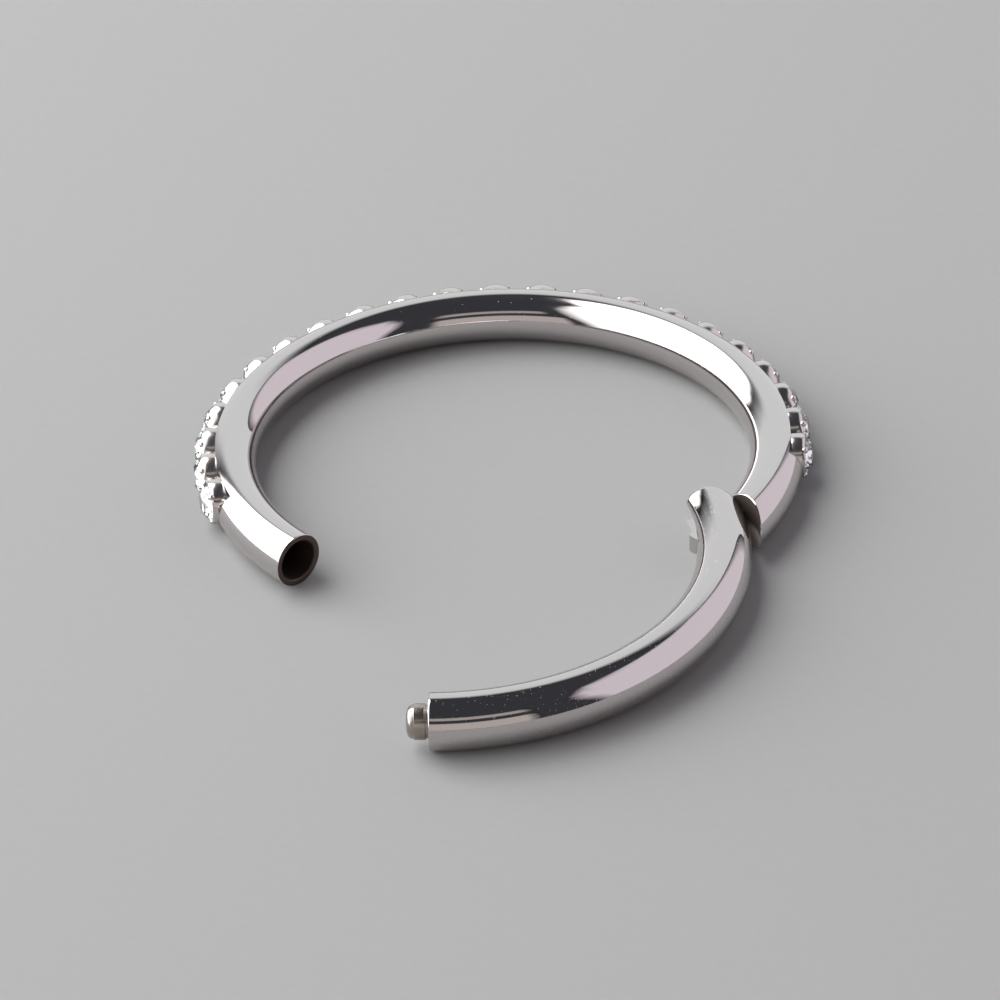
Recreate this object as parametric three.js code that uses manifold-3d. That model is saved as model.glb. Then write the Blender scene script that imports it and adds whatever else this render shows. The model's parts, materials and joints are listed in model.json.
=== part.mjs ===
// A hinged segment ring: a body-jewellery hoop of round steel wire whose lower part swings open on a pin.
// Millimetres, +Z up. The ring lies flat on its side, its centre is the origin and the surface is z = 0.
// Angles are in degrees, counter-clockwise about +Z, with 0 along +X.
import * as THREE from 'three';
import { mergeVertices } from 'three/addons/utils/BufferGeometryUtils.js';
import Module from 'manifold-3d';

// Driving dimensions: 16 gauge wire bent to an 11 mm clear opening
const wireDiameter = 1.2;
const innerDiameter = 11;
const latchAngle = -137;          // where the hoop's open tube end meets the segment's free end
const hingeAngle = -41.5;         // where the hinge pin stands
const hingeRadius = 5.72;         // the pin sits nearer the inner side of the wire
const openAngle = 44.5;           // how far the segment stands open
const runningGap = 0.03;

// The hinge: a round knuckle on the segment turns in a hollow seat, on a tongue inside a fork
const knuckleRadius = 1.17;
const tongueThickness = 0.4;
const tongueHalfWidth = 0.36;
const tongueLength = 1.7;
const tongueDirection = 100;      // from the outward radius at the pin, towards the hoop
const openingTravel = 54.5;       // the swing that the fork's slot leaves free
const slotBackDirection = 200;
const hingePinRadius = 0.14;

// The latch: a blunt pin on the segment's free end goes into the bored tube end
const latchPinRadius = 0.37;
const latchPinReach = 0.46;
const latchPinRoot = 0.6;
const latchPinTipRound = 0.13;
const latchBoreRadius = 0.46;
const latchBoreSweep = 18;

// The stone row: round stones in cups, standing in a shallow channel on the outer side of the hoop
const stoneCount = 22;
const stonePitch = 9.5;
const lastStoneAngle = 195;
const channelEndMargin = 6.5;
const channelFloorHeight = 0.3;   // heights are outward from the wire's centre line
const cupRadius = 0.5;
const cupRootHeight = 0.1;
const cupRimHeight = 0.62;
const girdleHeight = 0.6;
const stoneRadius = 0.42;
const girdleThickness = 0.03;
const crownHeight = 0.17;
const tableRadius = 0.24;
const pavilionDepth = 0.34;
const stoneGap = 0.02;

// How finely the round shapes are divided
const wireSides = 18;             // leaves a flat band exactly on the top and the underside of the wire
const wireSteps = 96;
const pinSides = 16;
const stoneSides = 12;
const arcSteps = 24;
const eyeSteps = 5;
const facetTurn = 5;              // turns cutting facets off the wire's own, so that no corners coincide

// Worked-out places
const wireRadius = wireDiameter / 2;
const ringRadius = (innerDiameter + wireDiameter) / 2;
const seatRadius = knuckleRadius + runningGap;
const stoneAngles = Array.from({ length: stoneCount }, (_, i) => lastStoneAngle - i * stonePitch);
const channelStart = stoneAngles[stoneCount - 1] - channelEndMargin;
const channelEnd = lastStoneAngle + channelEndMargin;
const beyond = 2 * ringRadius;    // a reach that is past every part of the wire
const tall = 4 * wireDiameter;

const rad = THREE.MathUtils.degToRad;
const along = (direction, length) => new THREE.Vector2(length, 0)
  .rotateAround(new THREE.Vector2(), rad(direction));
const hinge = along(hingeAngle, hingeRadius);

const wasm = await Module();
wasm.setup();

// A closed three.js geometry as a solid for joining and cutting
function solid(geometry) {
  const bare = geometry.clone();
  bare.deleteAttribute('normal');
  bare.deleteAttribute('uv');
  const merged = mergeVertices(bare, 1e-5);
  const corners = merged.index.array;
  const kept = [];
  for (let i = 0; i < corners.length; i += 3) {
    const [a, b, c] = corners.subarray(i, i + 3);
    if (a !== b && b !== c && c !== a) kept.push(a, b, c);
  }
  const vertProperties = new Float32Array(merged.attributes.position.array);
  const triVerts = new Uint32Array(kept);
  const made = new wasm.Manifold(new wasm.Mesh({ numProp: 3, vertProperties, triVerts }));
  if (made.status() !== 'NoError') throw new Error(`open shape: ${geometry.type} ${made.status()}`);
  return made;
}

// A finished solid as a named mesh
function piece(name, body, material) {
  const { numProp, vertProperties, triVerts } = body.getMesh();
  const geometry = new THREE.BufferGeometry();
  const count = vertProperties.length / numProp;
  const position = new Float32Array(count * 3);
  for (let i = 0; i < count; i++) {
    position.set(vertProperties.subarray(i * numProp, i * numProp + 3), i * 3);
  }
  geometry.setAttribute('position', new THREE.BufferAttribute(position, 3));
  geometry.setIndex(new THREE.BufferAttribute(triVerts, 1));
  geometry.computeVertexNormals();
  const mesh = new THREE.Mesh(geometry, material);
  mesh.name = name;
  return mesh;
}

// A plan outline stood up as a prism between two heights
function prism(shape, bottom, top) {
  const geometry = new THREE.ExtrudeGeometry(shape, {
    depth: top - bottom,
    bevelEnabled: false,
    curveSegments: arcSteps,
  });
  return solid(geometry.translate(0, 0, bottom));
}

// A full hoop of round wire, with flats on its top and underside at exactly the wire's radius
function hoop(radius) {
  const sideRadius = radius / Math.cos(Math.PI / wireSides);
  const torus = new THREE.TorusGeometry(ringRadius, sideRadius, wireSides, wireSteps);
  return solid(torus.translate(0, 0, wireRadius));
}

// The part of the plan between two angles, from the ring's centre out past the wire
function wedge(from, to) {
  const shape = new THREE.Shape();
  const start = along(from, beyond);
  shape.moveTo(0, 0);
  shape.lineTo(start.x, start.y);
  shape.absarc(0, 0, beyond, rad(from), rad(to), false);
  return prism(shape, -tall, tall);
}

// An upright round pin or hole on the hinge axis
function hingeCylinder(radius, sides = pinSides) {
  const cylinder = new THREE.CylinderGeometry(radius, radius, 2 * tall, sides);
  cylinder.rotateX(Math.PI / 2).rotateZ(rad(facetTurn));
  return solid(cylinder.translate(hinge.x, hinge.y, 0));
}

// A plan outline drawn about the hinge, with x along the outward radius, as a slab at mid-height
function hingeSlab(shape, thickness) {
  const slab = new THREE.ExtrudeGeometry(shape, {
    depth: thickness,
    bevelEnabled: false,
    curveSegments: eyeSteps,
  });
  slab.translate(hingeRadius, 0, wireRadius - thickness / 2);
  return solid(slab.rotateZ(rad(hingeAngle)));
}

// A shape turned about its own axis, pointed outward at one angle round the ring
function outward(profile, angle) {
  const points = profile.map(([radius, rise]) => new THREE.Vector2(radius, rise));
  const lathe = new THREE.LatheGeometry(points, stoneSides, rad(facetTurn));
  lathe.rotateZ(-Math.PI / 2).translate(ringRadius, 0, wireRadius);
  return solid(lathe.rotateZ(rad(angle)));
}

const steel = new THREE.MeshStandardMaterial({ color: 0xc9c6c8, roughness: 0.12, metalness: 1 });
const pinSteel = new THREE.MeshStandardMaterial({ color: 0xa39a94, roughness: 0.32, metalness: 1 });
const clearStone = new THREE.MeshStandardMaterial({ color: 0xdfe6e8, roughness: 0.03, metalness: 0 });

// The tongue: a flat finger with a round eye, reaching from the hoop to the hinge pin
function fingerOutline(halfWidth, length) {
  const tip = along(tongueDirection, length);
  const side = along(tongueDirection - 90, halfWidth);
  const shape = new THREE.Shape();
  shape.moveTo(tip.x + side.x, tip.y + side.y);
  shape.lineTo(tip.x - side.x, tip.y - side.y);
  shape.absarc(0, 0, halfWidth, rad(tongueDirection + 90), rad(tongueDirection + 270), false);
  return shape;
}

// The slot that the tongue turns in: open to the inner side, with its floor round the tongue's eye
function slotOutline() {
  const eye = tongueHalfWidth + runningGap;
  const frontDirection = tongueDirection - openingTravel;
  const front = along(frontDirection - 90, eye);
  const back = along(slotBackDirection + 90, eye);
  const slotReach = beyond / 4;   // past the wire's inner side
  const corners = [
    front.clone().add(along(frontDirection, slotReach)),
    along(tongueDirection, slotReach),
    back.clone().add(along(slotBackDirection, slotReach)),
    back,
  ];
  const shape = new THREE.Shape();
  shape.moveTo(front.x, front.y);
  corners.forEach(({ x, y }) => shape.lineTo(x, y));
  shape.absarc(0, 0, eye, rad(slotBackDirection + 90), rad(frontDirection + 270), false);
  return shape;
}

// The cup, its hollow and the stone share one profile, outward along the stone's axis
const girdleTop = girdleHeight + girdleThickness;
const cupProfile = [
  [0, cupRootHeight],
  [cupRadius, cupRootHeight],
  [cupRadius, cupRimHeight],
  [0, cupRimHeight],
];
const stoneProfile = [
  [0, girdleHeight - pavilionDepth],
  [stoneRadius, girdleHeight],
  [stoneRadius, girdleTop],
  [tableRadius, girdleTop + crownHeight],
  [0, girdleTop + crownHeight],
];
const hollowProfile = [
  [0, girdleHeight - pavilionDepth - 2 * stoneGap],
  [stoneRadius + stoneGap, girdleHeight - stoneGap],
  [stoneRadius + stoneGap, 2 * wireDiameter],
  [0, 2 * wireDiameter],
];

// The hoop's fixed part: wire from the hinge round to the latch, with channel, cups, tongue and bore
function ringBody() {
  const wire = hoop(wireRadius);
  const channelTool = outerBand(ringRadius + channelFloorHeight).intersect(wedge(channelStart, channelEnd));
  let body = wire.subtract(channelTool);
  for (const angle of stoneAngles) {
    body = body.add(outward(cupProfile, angle));
  }
  for (const angle of stoneAngles) {
    body = body.subtract(outward(hollowProfile, angle));
  }
  const bore = hoop(latchBoreRadius).intersect(wedge(latchAngle - latchBoreSweep, latchAngle + 1));
  const tongue = hingeSlab(fingerOutline(tongueHalfWidth, tongueLength), tongueThickness).intersect(wire);
  return body
    .subtract(wedge(latchAngle, hingeAngle).add(hingeCylinder(seatRadius, 2 * arcSteps)))
    .subtract(bore)
    .add(tongue)
    .subtract(hingeCylinder(hingePinRadius + runningGap));
}

// Everything outside one radius round the ring's own axis
function outerBand(radius) {
  const shape = new THREE.Shape();
  shape.absarc(0, 0, beyond, 0, 2 * Math.PI, false);
  const hole = new THREE.Path();
  hole.absarc(0, 0, radius, 0, 2 * Math.PI, true);
  shape.holes.push(hole);
  const band = new THREE.ExtrudeGeometry(shape, {
    depth: 2 * tall,
    bevelEnabled: false,
    curveSegments: wireSteps,
  });
  return solid(band.rotateZ(rad(facetTurn / 4)).translate(0, 0, -tall));
}

// The latch pin lies along the wire at the free end, its blunt tip turned with a small round
const gapAngle = THREE.MathUtils.radToDeg(runningGap / ringRadius);
const freeEndAngle = latchAngle + gapAngle;

function latchPin(extraRadius, reach) {
  const radius = latchPinRadius + extraRadius;
  const root = latchPinRoot + extraRadius;
  const profile = new THREE.Path();
  profile.moveTo(0, -root);
  profile.lineTo(radius, -root);
  const shoulder = reach - latchPinTipRound;
  profile.lineTo(radius, shoulder);
  profile.absarc(radius - latchPinTipRound, shoulder, latchPinTipRound, 0, Math.PI / 2, false);
  profile.lineTo(0, reach);
  const lathe = new THREE.LatheGeometry(profile.getPoints(4), pinSides);
  lathe.rotateZ(Math.PI).translate(ringRadius, 0, wireRadius);
  return solid(lathe.rotateZ(rad(freeEndAngle)));
}

// The swinging segment: wire from the latch to the knuckle, forked for the tongue and bored for the pins
function segmentBody() {
  const stretchAndKnuckle = wedge(freeEndAngle, hingeAngle).add(hingeCylinder(knuckleRadius, 2 * arcSteps));
  return hoop(wireRadius)
    .intersect(stretchAndKnuckle)
    .subtract(hingeSlab(slotOutline(), tongueThickness + 2 * runningGap))
    .subtract(hingeCylinder(hingePinRadius + stoneGap))
    .subtract(latchPin(stoneGap, latchPinReach));
}

// The swinging pieces are made shut, then turned open about the hinge pin
function swinging() {
  const group = new THREE.Group();
  group.position.set(hinge.x, hinge.y, 0);
  group.rotation.z = rad(openAngle);
  const shut = new THREE.Group();
  shut.position.set(-hinge.x, -hinge.y, 0);
  shut.add(piece('segment', segmentBody(), steel));
  shut.add(piece('latch_pin', latchPin(0, latchPinReach), pinSteel));
  shut.add(piece('hinge_pin', hingeCylinder(hingePinRadius).intersect(hoop(wireRadius)), steel));
  group.add(shut);
  return group;
}

const ring = new THREE.Group();
ring.add(piece('ring_body', ringBody(), steel));
stoneAngles.forEach((angle, i) => {
  const name = `stone_${String(i + 1).padStart(2, '0')}`;
  ring.add(piece(name, outward(stoneProfile, angle), clearStone));
});
ring.add(swinging());

export default ring;
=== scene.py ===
import json

import bmesh
import bpy
import numpy as np
from mathutils import Matrix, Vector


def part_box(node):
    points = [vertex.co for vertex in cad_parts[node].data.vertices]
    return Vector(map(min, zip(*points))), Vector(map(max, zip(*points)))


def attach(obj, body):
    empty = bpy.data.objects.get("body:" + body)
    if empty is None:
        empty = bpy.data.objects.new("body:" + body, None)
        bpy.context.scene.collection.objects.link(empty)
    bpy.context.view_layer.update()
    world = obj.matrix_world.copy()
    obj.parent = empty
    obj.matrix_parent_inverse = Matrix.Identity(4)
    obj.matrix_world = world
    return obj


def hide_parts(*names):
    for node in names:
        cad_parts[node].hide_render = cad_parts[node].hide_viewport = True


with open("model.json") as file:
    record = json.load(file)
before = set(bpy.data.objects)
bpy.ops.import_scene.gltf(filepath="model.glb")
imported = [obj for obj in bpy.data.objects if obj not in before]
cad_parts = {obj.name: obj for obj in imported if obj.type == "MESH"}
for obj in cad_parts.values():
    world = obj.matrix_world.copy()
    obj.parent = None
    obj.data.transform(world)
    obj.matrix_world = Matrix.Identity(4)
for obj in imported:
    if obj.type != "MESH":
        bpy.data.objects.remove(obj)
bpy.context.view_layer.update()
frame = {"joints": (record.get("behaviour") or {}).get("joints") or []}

# The hoop's fixed wire
# Surgical steel wire, bent round and tumble-polished to a mirror. One end is bored out as a thin tube
# for the latch, the other is hollowed to a round seat for the hinge, and a flat channel is milled along
# the outer side.
MM = 0.001
wire_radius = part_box("ring_body")[1][2] / 2
hoop_radius = 6.1 * MM
hinge_joint = frame["joints"][0]
hinge = np.array(hinge_joint["pos_m"][:2])
hinge_radius = np.hypot(*hinge)
hinge_angle = np.arctan2(hinge[1], hinge[0])
open_turn = np.radians(-hinge_joint["range_deg"][0])
full_turn = 2 * np.pi
latch_angle = np.radians(-137)
seat_radius = 1.2 * MM
bore_radius = 0.46 * MM
bore_sweep = np.radians(18)
edge_break = 0.025 * MM
break_turn = edge_break / hoop_radius
channel_floor = 0.3 * MM
stone_pitch = np.radians(9.5)
stone_angles = np.radians(195) - stone_pitch * np.arange(22)
channel_margin = np.radians(6.5)
around_count = 144
around = np.linspace(0, full_turn, around_count, endpoint=False)
bore_steps, plain_steps, channel_steps, rounding_steps = 12, 60, 280, 6
nearly_none = 1e-6
merge_distance = 2e-7
crisp_angle = 30


def on_wire(angle, tube):
    """Points on the bent wire: out from its centre line by tube, all the way round it, at an angle round
    the hoop. Both may be one number or one for each place round the wire."""
    reach = hoop_radius + tube * np.cos(around)
    across = np.stack([reach * np.cos(angle), reach * np.sin(angle)], axis=-1)
    return np.column_stack([across, wire_radius + tube * np.sin(around)])


def end_angle(tube, radius):
    """The angle round the hoop where a line along the wire's surface meets an upright cylinder about the
    hinge, by the cosine rule on the triangle of hoop centre, hinge and surface point."""
    reach = hoop_radius + tube * np.cos(around)
    cosine = (reach**2 + hinge_radius**2 - radius**2) / (2 * reach * hinge_radius)
    return hinge_angle + np.arccos(np.clip(cosine, -1, 1))


def stretch(start, end, count):
    """Angles from start to end in equal steps, without the last, where both may vary round the wire."""
    share = np.linspace(0, 1, count, endpoint=False)[:, None]
    return start + share * (end - start) + np.zeros(around_count)


def rounded_rim(angle, inward):
    """Rows over the rounded edge of a square end at an angle round the hoop: a quarter circle of the edge
    break's size, from the end face to the wire's side. Inward is the sign of the way into the wire."""
    turns = np.linspace(0, np.pi / 2, rounding_steps)
    angles = angle + inward * break_turn * (1 - np.cos(turns))
    tubes = wire_radius - edge_break * (1 - np.sin(turns))
    return [on_wire(row_angle, tube) for row_angle, tube in zip(angles, tubes)]


def grid_faces(rows, columns, first=0):
    """Quads between neighbouring rows of a grid whose columns close on themselves."""
    row, column = np.meshgrid(np.arange(rows - 1), np.arange(columns), indexing="ij")
    following = (column + 1) % columns
    corners = [row * columns + column, row * columns + following,
               (row + 1) * columns + following, (row + 1) * columns + column]
    return first + np.stack(corners, axis=-1).reshape(-1, 4)


def ruled_end(first, columns):
    """Quads that close an end curve with upright lines, from each place above mid-height to the one
    below it."""
    above = np.arange(columns // 2)
    below = (columns - above) % columns
    return first + np.stack([above, above + 1, columns - above - 1, below], axis=-1)


def make_piece(name, points, faces, sharp=crisp_angle):
    """A mesh object at the origin from points in metres and lists of faces. Doubles are merged, faces
    turned outward, and edges sharper than an angle in degrees stay crisp."""
    mesh = bpy.data.meshes.new(name)
    mesh.from_pydata(np.asarray(points).tolist(), [], [list(face) for face in faces])
    work = bmesh.new()
    work.from_mesh(mesh)
    bmesh.ops.remove_doubles(work, verts=work.verts, dist=merge_distance)
    bmesh.ops.dissolve_degenerate(work, edges=work.edges, dist=merge_distance)
    bmesh.ops.recalc_face_normals(work, faces=work.faces)
    work.to_mesh(mesh)
    work.free()
    mesh.polygons.foreach_set("use_smooth", np.ones(len(mesh.polygons), dtype=bool))
    mesh.set_sharp_from_angle(angle=np.radians(sharp))
    piece = bpy.data.objects.new(name, mesh)
    bpy.context.scene.collection.objects.link(piece)
    return piece


channel_near = stone_angles[0] - full_turn + channel_margin
channel_far = stone_angles[-1] - full_turn - channel_margin
bore_end = latch_angle - bore_sweep
bore_mouth = latch_angle - break_turn
cosine_out = np.maximum(np.cos(around), nearly_none)
flat_section = np.minimum(wire_radius, channel_floor / cosine_out)
seat_start = end_angle(wire_radius, seat_radius) - full_turn
seat_edge = seat_start + break_turn
seat_rim = end_angle(wire_radius - edge_break / 2, seat_radius) - full_turn
channel_turns = stretch(channel_near - break_turn, channel_far + break_turn, channel_steps)
near_turns = stretch(bore_mouth, channel_near, plain_steps)
far_turns = stretch(channel_far - break_turn, seat_edge, plain_steps)

hoop_rows = [on_wire(bore_end, 0.0)]
hoop_rows += [on_wire(angle, bore_radius) for angle in stretch(bore_end, bore_mouth, bore_steps)]
hoop_rows += [on_wire(bore_mouth, bore_radius)]
hoop_rows += [on_wire(latch_angle, bore_radius + edge_break)]
hoop_rows += rounded_rim(latch_angle, -1)
hoop_rows += [on_wire(angle, wire_radius) for angle in near_turns]
hoop_rows += [on_wire(channel_near, wire_radius)]
hoop_rows += [on_wire(channel_near - break_turn / 2, flat_section)]
hoop_rows += [on_wire(angle, flat_section) for angle in channel_turns]
hoop_rows += [on_wire(channel_far + break_turn / 2, flat_section)]
hoop_rows += [on_wire(channel_far, wire_radius)]
hoop_rows += [on_wire(angle, wire_radius) for angle in far_turns]
hoop_rows += [on_wire(seat_edge, wire_radius)]
hoop_rows += [on_wire(seat_rim, wire_radius - edge_break / 2)]

# The tongue is part of the same solid: a flat finger that reaches from the seat to the hinge pin
tongue_half_width = 0.36 * MM
tongue_length = 1.7 * MM
tongue_half_thickness = 0.2 * MM
tongue_bore = 0.17 * MM
tongue_direction = hinge_angle + np.radians(100)
tongue_steps = 96
inner_wall = 5.54 * MM
bearing = np.linspace(0, full_turn, tongue_steps, endpoint=False)
lean = bearing - tongue_direction
side_reach = tongue_half_width / np.maximum(np.abs(np.sin(lean)), nearly_none)
tip_reach = tongue_length / np.maximum(np.cos(lean), nearly_none)
finger_reach = np.where(np.cos(lean) > 0, np.minimum(side_reach, tip_reach), tongue_half_width)


def tongue_ring(reach, height):
    """Places round the hinge at a reach for each bearing, kept outside the wire's inner wall, at one
    height."""
    plan = hinge + np.stack([reach * np.cos(bearing), reach * np.sin(bearing)], axis=-1)
    distance = np.hypot(plan[:, 0], plan[:, 1])
    plan *= (np.maximum(distance, inner_wall) / distance)[:, None]
    return np.column_stack([plan, np.full(tongue_steps, height)])


low, high = wire_radius - tongue_half_thickness, wire_radius + tongue_half_thickness
bore_reach = np.full(tongue_steps, tongue_bore)
tongue_rows = [tongue_ring(bore_reach, low), tongue_ring(finger_reach, low),
               tongue_ring(finger_reach, high), tongue_ring(bore_reach, high),
               tongue_ring(bore_reach, low)]
hoop_points = np.concatenate(hoop_rows)
hoop_faces = grid_faces(len(hoop_rows), around_count).tolist()
hoop_faces += ruled_end(len(hoop_points) - around_count, around_count).tolist()
hoop_faces += grid_faces(len(tongue_rows), tongue_steps, len(hoop_points)).tolist()
hoop_wire = make_piece("hoop_wire", np.concatenate([hoop_points, *tongue_rows]), hoop_faces)
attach(hoop_wire, "hoop")
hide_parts("ring_body")


def linear(code):
    """An sRGB hex colour as linear red, green, blue and alpha."""
    shares = np.array([int(code[place:place + 2], 16) for place in (1, 3, 5)]) / 255
    shares = np.where(shares <= 0.04045, shares / 12.92, ((shares + 0.055) / 1.055) ** 2.4)
    return (*shares.tolist(), 1.0)


def add_node(tree, kind, links=None, values=None, **settings):
    """Adds one node: settings are its own options, values go on its sockets and links join them to
    outputs."""
    node = tree.nodes.new(kind)
    for key, value in settings.items():
        setattr(node, key, value)
    for key, value in (values or {}).items():
        node.inputs[key].default_value = value
    for key, output in (links or {}).items():
        tree.links.new(output, node.inputs[key])
    return node


def new_material(name):
    """A material with an empty node tree, and that tree."""
    material = bpy.data.materials.new(name)
    material.use_nodes = True
    material.node_tree.nodes.clear()
    return material, material.node_tree


# Mirror-polished surgical steel: a clear, slightly warm reflection, broken by hairline polishing
# scratches and a little dust that shows only where it reflects something dark. Real scratches are a few
# thousandths of a millimetre wide, too fine to show, so they are drawn coarser.
speck_spacing = 0.06 * MM
cloud_size = 0.9 * MM
hair_width = 0.035 * MM
hair_depth = 0.004 * MM


def polished_steel(name, colour, roughness, dust):
    """Polished steel of a colour, with a roughness that drifts in clouds. Dust is the share of places,
    one at each speck spacing, that hold a speck, and sets how rough the scratches are."""
    material, tree = new_material(name)
    place = add_node(tree, "ShaderNodeTexCoord").outputs["Object"]
    hair_stretch = add_node(tree, "ShaderNodeMapping", {"Vector": place},
                            {"Rotation": (0.3, 0.5, 0.9), "Scale": (1, 0.06, 1)})
    hair = add_node(tree, "ShaderNodeTexNoise", {"Vector": hair_stretch.outputs["Vector"]},
                    {"Scale": 1 / hair_width, "Detail": 2.0, "Roughness": 0.6})
    cloud = add_node(tree, "ShaderNodeTexNoise", {"Vector": place},
                     {"Scale": 1 / cloud_size, "Detail": 4.0})
    specks = add_node(tree, "ShaderNodeTexVoronoi", {"Vector": place},
                      {"Scale": 1 / speck_spacing, "Randomness": 1.0})
    dot = add_node(tree, "ShaderNodeMapRange", {"Value": specks.outputs["Distance"]},
                   {"From Min": 0.08, "From Max": 0.27, "To Min": 1.0, "To Max": 0.0})
    chosen = add_node(tree, "ShaderNodeSeparateColor", {"Color": specks.outputs["Color"]})
    rare = add_node(tree, "ShaderNodeMapRange", {"Value": chosen.outputs["Red"]},
                    {"From Min": 1 - dust, "From Max": 1.0, "To Min": 0.0, "To Max": 0.6})
    speck = add_node(tree, "ShaderNodeMath", {0: dot.outputs["Result"], 1: rare.outputs["Result"]},
                     operation="MULTIPLY")
    hazy = add_node(tree, "ShaderNodeMapRange", {"Value": cloud.outputs["Fac"]},
                    {"From Min": 0.3, "From Max": 0.75,
                     "To Min": roughness * 0.7, "To Max": roughness * 1.5})
    scratch = add_node(tree, "ShaderNodeMapRange", {"Value": hair.outputs["Fac"]},
                       {"From Min": 0.64, "From Max": 0.74, "To Min": 0.0, "To Max": 0.5 * dust})
    marked = add_node(tree, "ShaderNodeMath",
                      {0: speck.outputs["Value"], 1: scratch.outputs["Result"]}, operation="MAXIMUM")
    rough = add_node(tree, "ShaderNodeMath",
                     {0: marked.outputs["Value"], 1: hazy.outputs["Result"]}, operation="MAXIMUM")
    bump = add_node(tree, "ShaderNodeBump", {"Height": hair.outputs["Fac"]},
                    {"Strength": 0.02, "Distance": hair_depth})
    shader = add_node(tree, "ShaderNodeBsdfPrincipled",
                      {"Roughness": rough.outputs["Value"], "Normal": bump.outputs["Normal"]},
                      {"Base Color": linear(colour), "Metallic": 1.0})
    add_node(tree, "ShaderNodeOutputMaterial", {"Surface": shader.outputs["BSDF"]})
    return material


wire_steel = polished_steel("mirror_polished_surgical_steel", "#cbc6c5", 0.07, 0.08)
hoop_wire.data.materials.append(wire_steel)

# Drilled steel inside the tube: left as the drill cut it and dull, and coloured dark brown-grey as painted
# shade for the depth of the bore and the end face round its mouth
drill_mark_size = 0.15 * MM
bore_steel_painted_shade, bore_tree = new_material("drilled_steel_with_painted_shade")
bore_place = add_node(bore_tree, "ShaderNodeTexCoord").outputs["Object"]
bore_marks = add_node(bore_tree, "ShaderNodeTexNoise", {"Vector": bore_place},
                      {"Scale": 1 / drill_mark_size, "Detail": 3.0})
bore_rough = add_node(bore_tree, "ShaderNodeMapRange", {"Value": bore_marks.outputs["Fac"]},
                      {"To Min": 0.45, "To Max": 0.75})
# The dark brown-grey base colour is painted shade, not the steel's own colour
bore_shader = add_node(bore_tree, "ShaderNodeBsdfPrincipled", {"Roughness": bore_rough.outputs["Result"]},
                       {"Base Color": linear("#5c504b"), "Metallic": 0.9})
add_node(bore_tree, "ShaderNodeOutputMaterial", {"Surface": bore_shader.outputs["BSDF"]})
hoop_wire.data.materials.append(bore_steel_painted_shade)

# Milled steel in the hinge's seat: dull, with a dark brown-grey painted shade in the hollow and a light
# painted highlight along its lower lip, where it is a little less rough
painted_highlight_low, painted_highlight_high = 0.46 * MM, 0.6 * MM
seat_steel_painted_light, seat_tree = new_material("milled_steel_with_painted_shade_and_lip_highlight")
seat_place = add_node(seat_tree, "ShaderNodeTexCoord").outputs["Object"]
seat_axes = add_node(seat_tree, "ShaderNodeSeparateXYZ", {"Vector": seat_place})
# Painted light by height: 1 low down for the painted highlight on the lip, 0 higher up for the painted
# shade in the hollow
painted_lip_highlight = add_node(seat_tree, "ShaderNodeMapRange", {"Value": seat_axes.outputs["Z"]},
               {"From Min": painted_highlight_low, "From Max": painted_highlight_high, "To Min": 1.0, "To Max": 0.0})
# Dark brown-grey painted shade above, light beige painted highlight below
painted_seat_shade_and_highlight = add_node(seat_tree, "ShaderNodeMix", {"Factor": painted_lip_highlight.outputs["Result"]},
                       {"A": linear("#4b423d"), "B": linear("#e6dcd4")}, data_type="RGBA")
seat_rough = add_node(seat_tree, "ShaderNodeMapRange", {"Value": painted_lip_highlight.outputs["Result"]},
                      {"To Min": 0.5, "To Max": 0.4})
seat_shader = add_node(seat_tree, "ShaderNodeBsdfPrincipled",
                       {"Base Color": painted_seat_shade_and_highlight.outputs["Result"],
                        "Roughness": seat_rough.outputs["Result"]}, {"Metallic": 0.25})
add_node(seat_tree, "ShaderNodeOutputMaterial", {"Surface": seat_shader.outputs["BSDF"]})
hoop_wire.data.materials.append(seat_steel_painted_light)

# Faces in the bore and on the ring round its mouth get the dull steel with painted shade, and those in the
# seat get the milled steel with painted shade and a painted highlight
seat_tolerance = 0.004 * MM
seat_centre_band = 0.02 * MM
dull_painted_shade_finish, milled_painted_light_finish = 1, 2
centres = np.zeros(len(hoop_wire.data.polygons) * 3)
hoop_wire.data.polygons.foreach_get("center", centres)
centres = centres.reshape(-1, 3)
from_hoop_line = np.hypot(centres[:, 0], centres[:, 1]) - hoop_radius
from_line = np.hypot(from_hoop_line, centres[:, 2] - wire_radius)
from_hinge = np.hypot(centres[:, 0] - hinge[0], centres[:, 1] - hinge[1])
turn_of = np.arctan2(centres[:, 1], centres[:, 0])
near_latch = (turn_of < latch_angle - break_turn / 4) & (turn_of > bore_end - break_turn)
in_bore = near_latch & (from_line < bore_radius + edge_break / 2)
at_end = np.abs(turn_of - latch_angle) < break_turn / 2
at_end &= from_line < wire_radius - edge_break / 2
in_seat = np.abs(from_hinge - seat_radius) < seat_tolerance
in_seat &= np.abs(centres[:, 2] - wire_radius) < seat_centre_band
finishes = np.where(in_bore | at_end, dull_painted_shade_finish, np.where(in_seat, milled_painted_light_finish, 0))
hoop_wire.data.polygons.foreach_set("material_index", finishes.astype(np.int32))

# The cups of the stone row
# Small steel cups, cast in one with the wire and polished with it. Each holds a stone on a turned ledge,
# and four rounded claws are pressed over the stone's edge.
cup_steps = 40
cup_profile = np.array([
    [0.0, 0.302], [0.30, 0.42], [0.424, 0.588], [0.432, 0.61], [0.447, 0.621], [0.466, 0.616],
    [0.484, 0.59], [0.496, 0.535], [0.5, 0.46], [0.496, 0.37], [0.48, 0.26], [0.45, 0.18], [0.0, 0.17],
]) * MM
claw_bearings = np.radians([45, 135, 225, 315])
claw_offset = 0.44 * MM
claw_height = 0.615 * MM
claw_radius = 0.075 * MM
claw_steps = 10
claw_rows = 7


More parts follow.
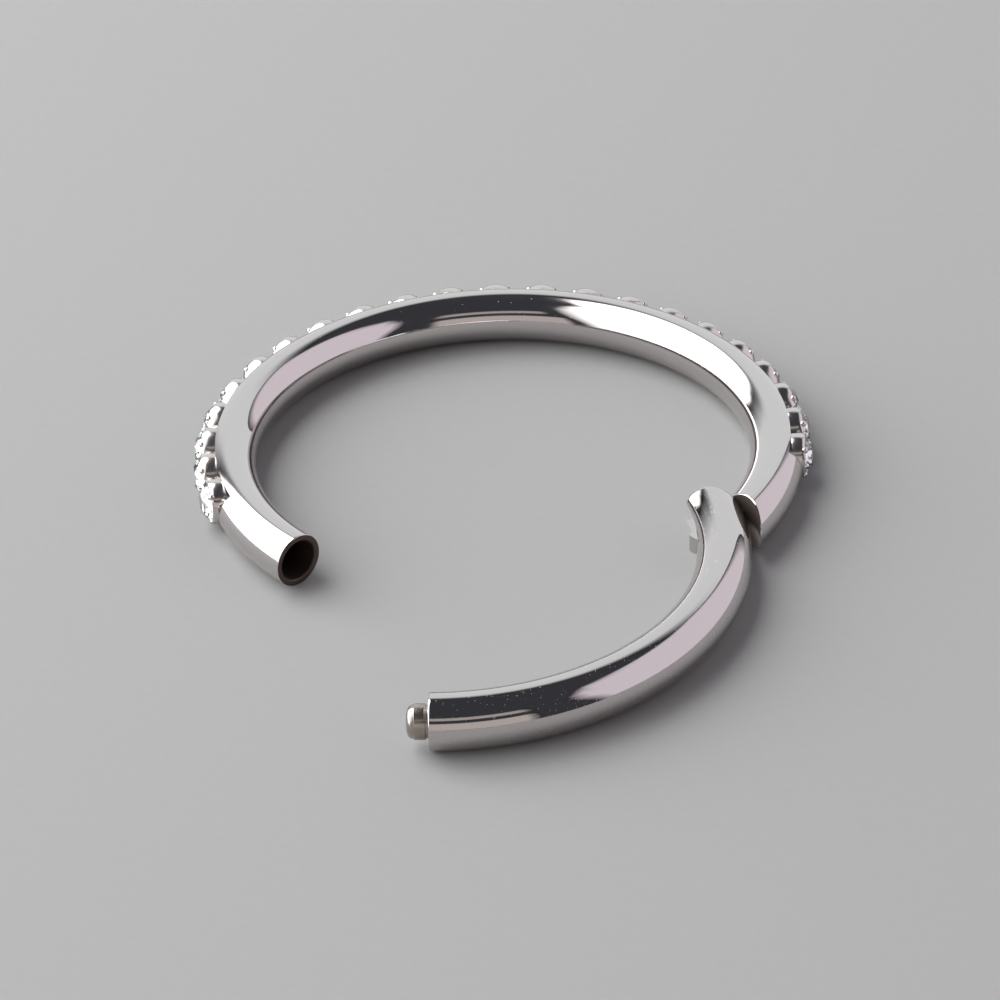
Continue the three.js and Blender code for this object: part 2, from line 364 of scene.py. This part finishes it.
def turned(profile, steps):
    """A profile of radius and height swept round its own axis, as a grid of rows: height is the first
    coordinate, and the circle lies in the other two."""
    sweep = np.linspace(0, full_turn, steps, endpoint=False)
    radius, height = profile[:, 0, None], profile[:, 1, None]
    rings = np.broadcast_arrays(height, radius * np.cos(sweep), radius * np.sin(sweep))
    return np.stack(rings, axis=-1).reshape(-1, 3)


def set_outward(points, angle):
    """Points with height first, stood outward on the wire's centre line at an angle round the hoop."""
    reach = hoop_radius + points[:, 0]
    across = points[:, 1]
    plan_x = reach * np.cos(angle) - across * np.sin(angle)
    plan_y = reach * np.sin(angle) + across * np.cos(angle)
    return np.column_stack([plan_x, plan_y, wire_radius + points[:, 2]])


claw_turn = np.linspace(0, np.pi, claw_rows)
claw_profile = np.column_stack([claw_radius * np.sin(claw_turn), claw_radius * np.cos(claw_turn)])
claw_points = turned(claw_profile, claw_steps)
setting_points = [turned(cup_profile, cup_steps)]
setting_faces = [grid_faces(len(cup_profile), cup_steps)]
for claw_bearing in claw_bearings:
    claw_place = [claw_height, claw_offset * np.cos(claw_bearing), claw_offset * np.sin(claw_bearing)]
    claw_first = sum(len(points) for points in setting_points)
    setting_points.append(claw_points + claw_place)
    setting_faces.append(grid_faces(claw_rows, claw_steps, claw_first))
setting_points = np.concatenate(setting_points)
setting_faces = np.concatenate(setting_faces)
row_points = np.concatenate([set_outward(setting_points, angle) for angle in stone_angles])
row_firsts = len(setting_points) * np.arange(len(stone_angles))
row_faces = np.concatenate([setting_faces + first for first in row_firsts])
stone_cups = make_piece("stone_cups", row_points, row_faces)
cup_steel = polished_steel("tumbled_cast_steel", "#cfc9c6", 0.17, 0.08)
stone_cups.data.materials.append(cup_steel)
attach(stone_cups, "hoop")

# The stones
# Clear zirconia, machine-cut as round brilliants of 57 facets with a thin girdle, set table outward in
# the cups.
stone_radius = 0.42 * MM
table_radius = 0.24 * MM
star_radius = 0.345 * MM
girdle_low, girdle_high = 0.6 * MM, 0.63 * MM
star_height = 0.722 * MM
table_height = 0.8 * MM
lower_radius = 0.1 * MM
lower_height = 0.375 * MM
culet_height = 0.312 * MM
fold = 8
facet_crisp_angle = 1


def facet_ring(radius, height, count, shift=0.0):
    """Corners evenly round the stone's axis at one radius and height, turned by a share of their
    spacing."""
    sweep = (np.arange(count) + shift) * full_turn / count
    return np.column_stack([np.full(count, height), radius * np.cos(sweep), radius * np.sin(sweep)])


stone_points = np.concatenate([
    facet_ring(table_radius, table_height, fold),
    facet_ring(star_radius, star_height, fold, 0.5),
    facet_ring(stone_radius, girdle_high, 2 * fold),
    facet_ring(stone_radius, girdle_low, 2 * fold),
    facet_ring(lower_radius, lower_height, fold, 0.5),
    [[culet_height, 0.0, 0.0]],
])
table_at, star_at, upper_at, under_at, lower_at = 0, fold, 2 * fold, 4 * fold, 6 * fold
culet_at = lower_at + fold
stone_faces = [list(range(fold))]
for here in range(fold):
    after, before = (here + 1) % fold, (here - 1) % fold
    even, odd, next_even = 2 * here, 2 * here + 1, 2 * after
    stone_faces += [
        [table_at + here, star_at + here, table_at + after],
        [table_at + here, star_at + before, upper_at + even, star_at + here],
        [star_at + here, upper_at + even, upper_at + odd],
        [star_at + here, upper_at + odd, upper_at + next_even],
        [upper_at + even, under_at + even, under_at + odd, upper_at + odd],
        [upper_at + odd, under_at + odd, under_at + next_even, upper_at + next_even],
        [under_at + even, lower_at + here, under_at + odd],
        [under_at + odd, lower_at + here, under_at + next_even],
        [under_at + even, lower_at + before, culet_at, lower_at + here],
    ]

# Clear cut zirconia: almost colourless, bright and sharp in its facets, with a faint cool tint in the depth
tint_size = 0.8 * MM
zirconia, zirconia_tree = new_material("clear_cut_zirconia")
zirconia_place = add_node(zirconia_tree, "ShaderNodeTexCoord").outputs["Object"]
zirconia_cloud = add_node(zirconia_tree, "ShaderNodeTexNoise", {"Vector": zirconia_place},
                          {"Scale": 1 / tint_size})
zirconia_tint = add_node(zirconia_tree, "ShaderNodeMix", {"Factor": zirconia_cloud.outputs["Fac"]},
                         {"A": linear("#eef6f7"), "B": linear("#ffffff")}, data_type="RGBA")
zirconia_shader = add_node(zirconia_tree, "ShaderNodeBsdfPrincipled",
                           {"Base Color": zirconia_tint.outputs["Result"]},
                           {"Roughness": 0.015, "IOR": 2.16, "Transmission Weight": 1.0})
add_node(zirconia_tree, "ShaderNodeOutputMaterial", {"Surface": zirconia_shader.outputs["BSDF"]})
for place, angle in enumerate(stone_angles, start=1):
    standing = set_outward(stone_points, angle)
    stone = make_piece(f"cut_stone_{place:02d}", standing, stone_faces, facet_crisp_angle)
    stone.data.materials.append(zirconia)
    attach(stone, "hoop")
    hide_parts(f"stone_{place:02d}")

# The swinging segment
# The same polished wire, cut off square at its free end and rounded at the other to a knuckle that turns
# in the hoop's seat. A saw slot makes the knuckle a fork for the tongue.
knuckle_radius = 1.17 * MM
latch_gap = 0.03 * MM
free_end = latch_angle + latch_gap / hoop_radius
pin_hole_radius = 0.385 * MM
pin_hole_depth = 0.08 * MM
pin_hole_end = free_end + pin_hole_depth / hoop_radius
segment_steps = 260
knuckle_edge = end_angle(wire_radius, knuckle_radius) - break_turn
knuckle_rim = end_angle(wire_radius - edge_break / 2, knuckle_radius)
segment_turns = stretch(free_end + break_turn, knuckle_edge, segment_steps)

segment_rows = [on_wire(pin_hole_end, 0.0), on_wire(pin_hole_end, pin_hole_radius)]
segment_rows += [on_wire(free_end + break_turn / 2, pin_hole_radius)]
segment_rows += [on_wire(free_end, pin_hole_radius + edge_break / 2)]
segment_rows += rounded_rim(free_end, 1)
segment_rows += [on_wire(angle, wire_radius) for angle in segment_turns]
segment_rows += [on_wire(knuckle_edge, wire_radius)]
segment_rows += [on_wire(knuckle_rim, wire_radius - edge_break / 2)]
segment_points = np.concatenate(segment_rows)
segment_faces = grid_faces(len(segment_rows), around_count).tolist()
segment_faces += ruled_end(len(segment_points) - around_count, around_count).tolist()


def swung_open(points):
    """Points of the shut ring, turned about the hinge to the open pose that the ring is stored in."""
    cosine, sine = np.cos(open_turn), np.sin(open_turn)
    plan = (points[:, :2] - hinge) @ np.array([[cosine, sine], [-sine, cosine]]) + hinge
    return np.column_stack([plan, points[:, 2]])


def from_hinge_pin(direction, length):
    """A step in plan of a length, in a direction in degrees from the hoop's outward radius at the
    hinge."""
    step_bearing = hinge_angle + np.radians(direction)
    return length * np.array([np.cos(step_bearing), np.sin(step_bearing)])


slot_eye = 0.39 * MM
slot_front, slot_middle, slot_back = 45.5, 100, 200
slot_reach = 3 * MM
slot_half_height = 0.23 * MM
eye_steps = 9
eye_directions = np.linspace(slot_back + 90, slot_front + 270, eye_steps)
slot_outline = hinge + np.array([
    from_hinge_pin(slot_front - 90, slot_eye) + from_hinge_pin(slot_front, slot_reach),
    from_hinge_pin(slot_middle, slot_reach),
    from_hinge_pin(slot_back + 90, slot_eye) + from_hinge_pin(slot_back, slot_reach),
    *[from_hinge_pin(direction, slot_eye) for direction in eye_directions],
])
slot_sides = len(slot_outline)
slot_points = np.concatenate([
    np.column_stack([slot_outline, np.full(slot_sides, wire_radius - slot_half_height)]),
    np.column_stack([slot_outline, np.full(slot_sides, wire_radius + slot_half_height)]),
])
slot_faces = grid_faces(2, slot_sides).tolist()
slot_faces += [list(range(slot_sides)), list(range(slot_sides, 2 * slot_sides))]
whole_segment = make_piece("whole_segment", swung_open(segment_points), segment_faces)
slot_block = make_piece("slot_block", swung_open(slot_points), slot_faces)
saw_cut = whole_segment.modifiers.new("saw_cut", "BOOLEAN")
saw_cut.object = slot_block
saw_cut.operation = "DIFFERENCE"
saw_cut.solver = "EXACT"
slotted = whole_segment.evaluated_get(bpy.context.evaluated_depsgraph_get())
cut_mesh = bpy.data.meshes.new_from_object(slotted)
cut_mesh.set_sharp_from_angle(angle=np.radians(crisp_angle))
swing_segment = bpy.data.objects.new("swing_segment", cut_mesh)
bpy.context.scene.collection.objects.link(swing_segment)
bpy.data.objects.remove(whole_segment)
bpy.data.objects.remove(slot_block)
segment_steel = polished_steel("mirror_polished_segment_steel", "#c9c4c3", 0.035, 0.6)
swing_segment.data.materials.clear()
swing_segment.data.materials.append(segment_steel)
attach(swing_segment, "segment")
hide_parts("segment")

# The latch pin
# A short blunt steel pin, turned on a lathe, pressed into the segment's free end and left unpolished. A
# thin groove runs round its root.
pin_steps = 64
pin_body = np.array([
    [0.0, -0.07], [0.375, -0.07], [0.375, 0.012], [0.366, 0.02], [0.34, 0.024], [0.34, 0.06],
    [0.366, 0.068], [0.37, 0.078], [0.37, 0.3], [0.352, 0.315],
]) * MM
tip_rows = 12
tip_turn = np.linspace(0, np.pi / 2, tip_rows)
tip_radius, tip_start, tip_length = 0.35 * MM, 0.325 * MM, 0.143 * MM
tip_widths = tip_radius * np.sqrt(np.cos(tip_turn).clip(0))
pin_tip = np.column_stack([tip_widths, tip_start + tip_length * np.sin(tip_turn)])
pin_profile = np.concatenate([pin_body, pin_tip])
pin_shape = turned(pin_profile, pin_steps)
pin_faces = grid_faces(len(pin_profile), pin_steps)
pin_out = np.array([np.sin(free_end), -np.cos(free_end)])
pin_side = np.array([np.cos(free_end), np.sin(free_end)])
pin_root = hoop_radius * pin_side
pin_plan = pin_root + pin_shape[:, :1] * pin_out + pin_shape[:, 1:2] * pin_side
pin_points = np.column_stack([pin_plan, wire_radius + pin_shape[:, 2]])
latch_pin = make_piece("blunt_latch_pin", swung_open(pin_points), pin_faces)
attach(latch_pin, "segment")
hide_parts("latch_pin")

# Turned steel: fine rings from the lathe tool, a browner and duller grey than the polished wire. A wave
# texture of scale 1 repeats after a twentieth of a full turn.
tool_pitch = 0.045 * MM
tool_depth = 0.004 * MM
stain_size = 0.22 * MM
wave_length = full_turn / 20
pin_bearing = np.arctan2(pin_out[1], pin_out[0]) + open_turn
turned_steel, turned_tree = new_material("turned_steel_unpolished")
turned_place = add_node(turned_tree, "ShaderNodeTexCoord").outputs["Object"]
along_pin = add_node(turned_tree, "ShaderNodeMapping", {"Vector": turned_place},
                     {"Rotation": (0, 0, -pin_bearing)})
tool_rings = add_node(turned_tree, "ShaderNodeTexWave", {"Vector": along_pin.outputs["Vector"]},
                      {"Scale": wave_length / tool_pitch, "Distortion": 0.6, "Detail": 1.0,
                       "Detail Scale": 3.0})
pin_stain = add_node(turned_tree, "ShaderNodeTexNoise", {"Vector": turned_place},
                     {"Scale": 1 / stain_size, "Detail": 5.0})
pin_colour = add_node(turned_tree, "ShaderNodeMix", {"Factor": pin_stain.outputs["Fac"]},
                      {"A": linear("#857a73"), "B": linear("#c4bcb5")}, data_type="RGBA")
pin_rough = add_node(turned_tree, "ShaderNodeMapRange", {"Value": pin_stain.outputs["Fac"]},
                     {"To Min": 0.12, "To Max": 0.34})
pin_bump = add_node(turned_tree, "ShaderNodeBump", {"Height": tool_rings.outputs["Fac"]},
                    {"Strength": 0.25, "Distance": tool_depth})
pin_shader = add_node(turned_tree, "ShaderNodeBsdfPrincipled",
                      {"Base Color": pin_colour.outputs["Result"],
                       "Roughness": pin_rough.outputs["Result"],
                       "Normal": pin_bump.outputs["Normal"]}, {"Metallic": 1.0})
add_node(turned_tree, "ShaderNodeOutputMaterial", {"Surface": pin_shader.outputs["BSDF"]})
latch_pin.data.materials.append(turned_steel)

# The hinge pin
# A steel pin through fork and tongue, riveted and polished flush, so its ends follow the wire's own
# surface.
rivet_radius = 0.14 * MM
rivet_steps = 48
rivet_shares = np.array([0.0, 0.4, 0.8, 0.96, 1.0])
rivet_sweep = np.linspace(0, full_turn, rivet_steps, endpoint=False)


def rivet_ring(share, side):
    """A ring of the pin's end cap at a share of its radius, lifted to the wire's surface above or below
    by the sign of side."""
    circle = np.stack([np.cos(rivet_sweep), np.sin(rivet_sweep)], axis=-1)
    plan = hinge + share * rivet_radius * circle
    from_centre_line = np.hypot(plan[:, 0], plan[:, 1]) - hoop_radius
    height = wire_radius + side * np.sqrt(wire_radius**2 - from_centre_line**2)
    return np.column_stack([plan, height])


rivet_rows = [rivet_ring(share, -1) for share in rivet_shares]
rivet_rows += [rivet_ring(share, 1) for share in rivet_shares[::-1]]
rivet_points = swung_open(np.concatenate(rivet_rows))
hinge_rivet = make_piece("flush_hinge_pin", rivet_points, grid_faces(len(rivet_rows), rivet_steps))
hinge_rivet.data.materials.append(segment_steel)
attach(hinge_rivet, "segment")
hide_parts("hinge_pin")

# The floor
# A plain pale grey board, matt, with the faintest grain.
floor_half = 400 * MM
grain_size = 0.25 * MM
floor_points = np.array([[-1, -1, 0], [1, -1, 0], [1, 1, 0], [-1, 1, 0]]) * floor_half
floor = make_piece("pale_floor", floor_points, [[0, 1, 2, 3]])
board, board_tree = new_material("matt_pale_grey_board")
board_place = add_node(board_tree, "ShaderNodeTexCoord").outputs["Object"]
board_grain = add_node(board_tree, "ShaderNodeTexNoise", {"Vector": board_place},
                       {"Scale": 1 / grain_size, "Detail": 3.0})
board_colour = add_node(board_tree, "ShaderNodeMix", {"Factor": board_grain.outputs["Fac"]},
                        {"A": linear("#949494"), "B": linear("#979797")}, data_type="RGBA")
board_shader = add_node(board_tree, "ShaderNodeBsdfPrincipled",
                        {"Base Color": board_colour.outputs["Result"]},
                        {"Roughness": 0.8, "Specular IOR Level": 0.2})
add_node(board_tree, "ShaderNodeOutputMaterial", {"Surface": board_shader.outputs["BSDF"]})
floor.data.materials.append(board)

# The studio light
# A tall white softbox on the left that leans over the ring, a lilac-grey panel on the right, a low grey
# wall behind, two warm strips in front and a dim room. Each is a glowing card on a dome, soft at its
# edges.
room = bpy.data.worlds.new("dim_room")
room.use_nodes = True
room_light = room.node_tree.nodes["Background"]
room_light.inputs["Color"].default_value = linear("#a2a6b2")
room_light.inputs["Strength"].default_value = 0.15
bpy.context.scene.world = room
card_steps = 15
no_low_edge = 90.0


def dome_card(name, heights, lefts, rights, glow, colour, distance=300, softness=6, lean_right=0.0):
    """A card on a dome about the ring: rows at elevations between the first and last height, each
    spanning from the left to the right azimuth there, clockwise from the back. All are in degrees, at a
    distance in millimetres. The glow fades out by a smooth step over the softness at every edge above
    the floor, and may be stronger towards the right."""
    rise = np.linspace(heights[0], heights[-1], card_steps)
    left, right = np.interp(rise, heights, lefts), np.interp(rise, heights, rights)
    share = np.linspace(0, 1, card_steps)
    azimuth = np.radians(left[:, None] + share * (right - left)[:, None])
    elevation = np.radians(rise)[:, None] + np.zeros(card_steps)
    level_reach = np.cos(elevation)
    dome = [level_reach * np.sin(azimuth), level_reach * np.cos(azimuth), np.sin(elevation)]
    points = distance * MM * np.stack(dome, axis=-1).reshape(-1, 3)
    corner = np.arange(card_steps * card_steps).reshape(card_steps, card_steps)
    corners = [corner[:-1, :-1], corner[:-1, 1:], corner[1:, 1:], corner[1:, :-1]]
    card_mesh = bpy.data.meshes.new(name)
    card_mesh.from_pydata(points.tolist(), [], np.stack(corners, axis=-1).reshape(-1, 4).tolist())
    side_room = np.minimum(share, 1 - share) * (right - left)[:, None] * level_reach
    top_room = (heights[-1] - rise)[:, None]
    low_room = (rise - heights[0])[:, None] if heights[0] > 0 else no_low_edge
    inside = np.minimum(np.minimum(side_room, top_room), low_room) / softness
    fade = np.clip(inside, 0, 1)
    fade = fade * fade * (3 - 2 * fade) * (1 + lean_right * (2 * share - 1))
    fade_layer = card_mesh.attributes.new("fade", "FLOAT", "POINT")
    fade_layer.data.foreach_set("value", fade.ravel().astype(np.float32))
    card_material, card_tree = new_material(name + "_cloth")
    fading = add_node(card_tree, "ShaderNodeAttribute", attribute_name="fade")
    strength = add_node(card_tree, "ShaderNodeMath", {0: fading.outputs["Fac"]}, {1: glow},
                        operation="MULTIPLY")
    cloth = add_node(card_tree, "ShaderNodeEmission", {"Strength": strength.outputs["Value"]},
                     {"Color": linear(colour)})
    add_node(card_tree, "ShaderNodeOutputMaterial", {"Surface": cloth.outputs["Emission"]})
    card_mesh.materials.append(card_material)
    card = bpy.data.objects.new(name, card_mesh)
    bpy.context.scene.collection.objects.link(card)


dome_card("left_softbox", heights=[0, 30, 45, 62, 72, 76], lefts=[-140, -148, -150, -146, -130, -100],
          rights=[-46, -35, -8, -8, -25, -60], glow=4.4, colour="#fefefe", lean_right=0.7)
dome_card("right_lilac_panel", heights=[0, 30, 45, 58, 64], lefts=[38, 32, 26, 50, 80],
          rights=[128, 134, 131, 118, 100], glow=1.08, colour="#f0e8f0")
dome_card("back_wall", heights=[0, 20, 36, 52], lefts=[-42, -40, -28, -12], rights=[70, 64, 50, 34],
          glow=1.08, colour="#f0f4f6", distance=320, softness=14)
dome_card("front_low_strip", heights=[0, 14, 26], lefts=[148, 148, 148], rights=[216, 214, 212],
          glow=0.75, colour="#f0e7e3", softness=4)
dome_card("front_high_strip", heights=[33, 40, 47], lefts=[147, 147, 147], rights=[205, 205, 205],
          glow=0.6, colour="#f2ece8", softness=4)

# The camera
# A long macro lens, looking down from in front at the photograph's angle, turned slightly about its own
# axis.
focal_pixels = 4000
image_width = 1000
camera_distance = 88.786 * MM
camera_drop = np.radians(32.779)
camera_roll = np.radians(-1.713)
camera_target = np.array([-0.102, -1.07, 0.0]) * MM
forward = np.array([0.0, np.cos(camera_drop), -np.sin(camera_drop)])
level = np.array([1.0, 0.0, 0.0])
raised = np.cross(level, forward)
sideways = np.cos(camera_roll) * level + np.sin(camera_roll) * raised
upward = -np.sin(camera_roll) * level + np.cos(camera_roll) * raised
camera_place = camera_target - forward * camera_distance
lens = bpy.data.cameras.new("macro_lens")
lens.sensor_width = 36
lens.lens = lens.sensor_width * focal_pixels / image_width
lens.clip_start = 1 * MM
lens.clip_end = 10
camera = bpy.data.objects.new("camera", lens)
camera_axes = np.column_stack([sideways, upward, -forward, camera_place])
camera.matrix_world = Matrix([*camera_axes.tolist(), [0, 0, 0, 1]])
bpy.context.scene.collection.objects.link(camera)
bpy.context.scene.camera = camera
bpy.context.scene.view_settings.view_transform = "Standard"
